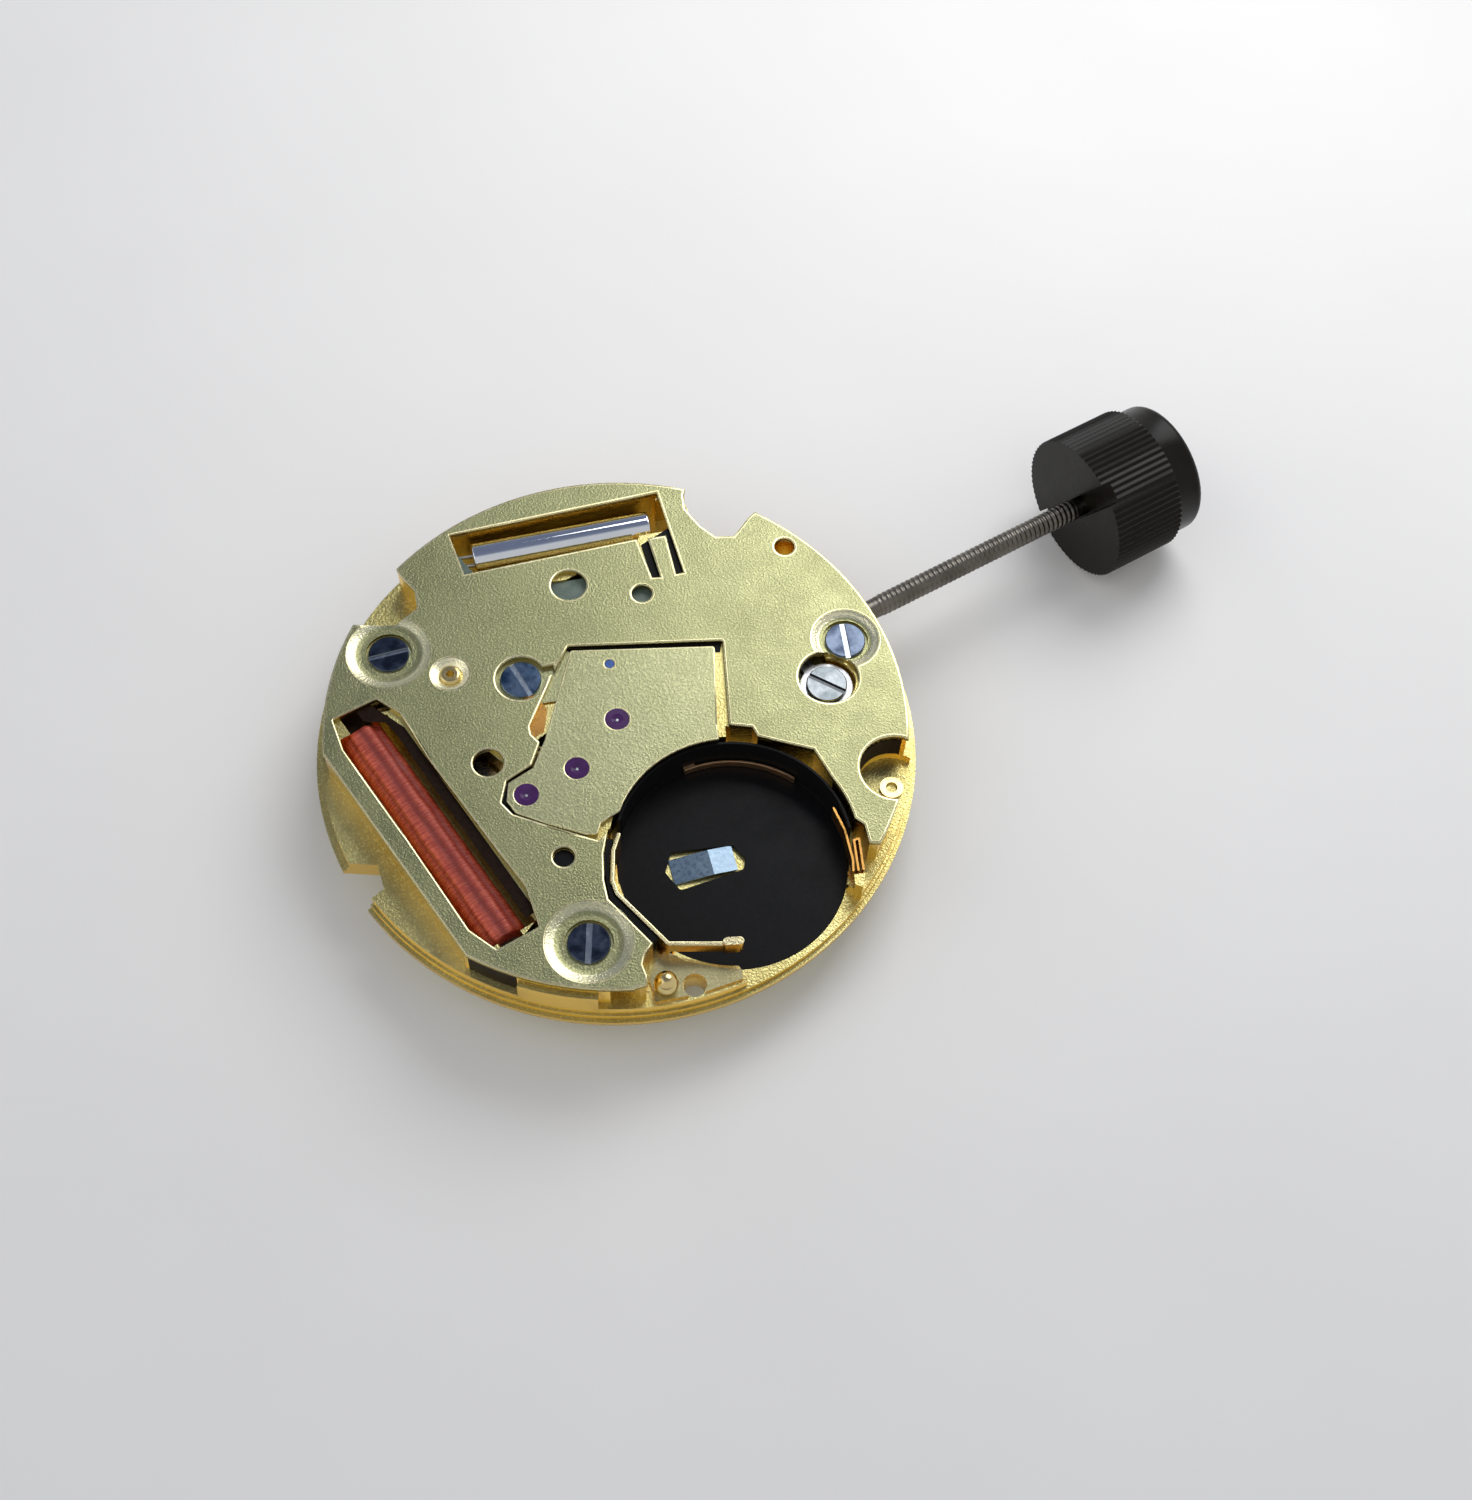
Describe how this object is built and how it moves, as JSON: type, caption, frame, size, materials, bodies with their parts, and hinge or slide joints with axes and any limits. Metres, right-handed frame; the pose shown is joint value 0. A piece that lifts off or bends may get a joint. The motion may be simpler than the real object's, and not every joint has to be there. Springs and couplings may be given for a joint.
{
  "type": "quartz watch movement",
  "caption": "Round quartz watch movement for three hands, with coil, crystal, gear train, open battery well, and a setting stem with a holding knob.",
  "frame": {"origin": "on the axis of the hands, in the plane of the dial seat", "axes": "+Z towards the bridge side, +X along the winding stem to the knob"},
  "size_m": [0.0418, 0.0256, 0.0067],
  "materials": {
    "plate_gilt": "polished gilt",
    "cover_gilt": "satin pale gilt",
    "bridge_gilt": "satin pale gilt",
    "jewel_red": "polished synthetic ruby",
    "contact_gilt": "polished gilt sheet",
    "spring_copper": "polished copper alloy sheet",
    "coil_wire": "red enamelled wire",
    "magnetic_steel": "satin",
    "screw_steel": "polished blue-grey",
    "stem_steel": "dark steel",
    "crystal_can": "mirror",
    "lead_tin": "tinned",
    "board_green": "solder resist on film",
    "chip_black": "matt",
    "well_black": "matt black",
    "knob_black": "gloss black",
    "wheel_brass": "gilt",
    "pinion_steel": "polished"
  },
  "bodies": {
    "plate": {"main_plate": "plate_gilt", "cover_plate": "cover_gilt", "train_bridge": "bridge_gilt", "bridge_jewels": "jewel_red", "motion_work_bridge": "plate_gilt", "motion_screws": "screw_steel", "coil_winding": "coil_wire", "coil_core": "magnetic_steel", "stator": "magnetic_steel", "quartz_crystal": "crystal_can", "crystal_leads": "lead_tin", "circuit_board": "board_green", "circuit_chip": "chip_black", "battery_well": "well_black", "positive_contact": "contact_gilt", "negative_contact": "contact_gilt", "side_spring": "spring_copper", "wall_spring": "contact_gilt", "cover_screws": "screw_steel", "bridge_screw": "screw_steel", "setting_lever_screw": "screw_steel", "brass_eyelet": "contact_gilt", "locating_stud": "plate_gilt", "locating_bush": "plate_gilt", "jumper_spring": "magnetic_steel"},
    "rotor": {"rotor_magnet": "magnetic_steel", "rotor_pinion": "pinion_steel"},
    "intermediate": {"intermediate_wheel": "wheel_brass", "intermediate_pinion": "pinion_steel"},
    "second": {"second_wheel": "wheel_brass", "second_arbor": "pinion_steel"},
    "third": {"third_wheel": "wheel_brass", "third_pinion": "pinion_steel"},
    "centre": {"centre_wheel": "wheel_brass", "cannon_pinion": "pinion_steel"},
    "minute": {"minute_wheel": "wheel_brass"},
    "hour": {"hour_wheel": "wheel_brass"},
    "setting": {"setting_wheel": "wheel_brass"},
    "clutch": {"sliding_pinion": "pinion_steel"},
    "stem": {"winding_stem": "stem_steel", "setting_knob": "knob_black"},
    "lever": {"setting_lever": "magnetic_steel"},
    "yoke": {"yoke": "magnetic_steel"}
  },
  "joints": [
    {"name": "second_turn", "type": "hinge", "parent": "plate", "child": "second", "pos_m": [0, 0, 0], "axis": [0, 0, 1], "continuous": true},
    {"name": "intermediate_turn", "type": "hinge", "parent": "plate", "child": "intermediate", "pos_m": [-0.0026, -0.00122, 0], "axis": [0, 0, 1], "continuous": true},
    {"name": "rotor_turn", "type": "hinge", "parent": "plate", "child": "rotor", "pos_m": [-0.005, -0.00127, 0], "axis": [0, 0, 1], "continuous": true},
    {"name": "third_turn", "type": "hinge", "parent": "plate", "child": "third", "pos_m": [0.00106, 0.00255, 0], "axis": [0, 0, 1], "continuous": true},
    {"name": "centre_turn", "type": "hinge", "parent": "plate", "child": "centre", "pos_m": [0, 0, 0], "axis": [0, 0, 1], "continuous": true},
    {"name": "minute_turn", "type": "hinge", "parent": "plate", "child": "minute", "pos_m": [0.00181, 0.00085, 0], "axis": [0, 0, 1], "continuous": true},
    {"name": "hour_turn", "type": "hinge", "parent": "plate", "child": "hour", "pos_m": [0, 0, 0], "axis": [0, 0, 1], "continuous": true},
    {"name": "setting_turn", "type": "hinge", "parent": "plate", "child": "setting", "pos_m": [0.00445, 0.0003, 0], "axis": [0, 0, 1], "continuous": true},
    {"name": "stem_turn", "type": "hinge", "parent": "plate", "child": "clutch", "pos_m": [0.0067, 0, 0.001], "axis": [1, 0, 0], "continuous": true},
    {"name": "stem_pull", "type": "slide", "parent": "clutch", "child": "stem", "axis": [1, 0, 0], "range_m": [0, 0.0009]},
    {"name": "lever_turn", "type": "hinge", "parent": "plate", "child": "lever", "pos_m": [0.00875, -0.00271, 0], "axis": [0, 0, 1], "range_deg": [-19, 0]},
    {"name": "yoke_turn", "type": "hinge", "parent": "plate", "child": "yoke", "pos_m": [0.0074, -0.00299, 0], "axis": [0, 0, 1], "range_deg": [0, 9.7]}
  ],
  "couplings": [
    {"joint": "intermediate_turn", "follows": "second_turn", "ratio": -5},
    {"joint": "rotor_turn", "follows": "second_turn", "ratio": 30},
    {"joint": "third_turn", "follows": "second_turn", "ratio": -0.13333},
    {"joint": "centre_turn", "follows": "second_turn", "ratio": 0.016667},
    {"joint": "minute_turn", "follows": "second_turn", "ratio": -0.0055556},
    {"joint": "hour_turn", "follows": "second_turn", "ratio": 0.0013889},
    {"joint": "setting_turn", "follows": "second_turn", "ratio": 0.0069444},
    {"joint": "lever_turn", "follows": "stem_pull", "rad_per_m": -368.4},
    {"joint": "yoke_turn", "follows": "stem_pull", "rad_per_m": 188}
  ]
}
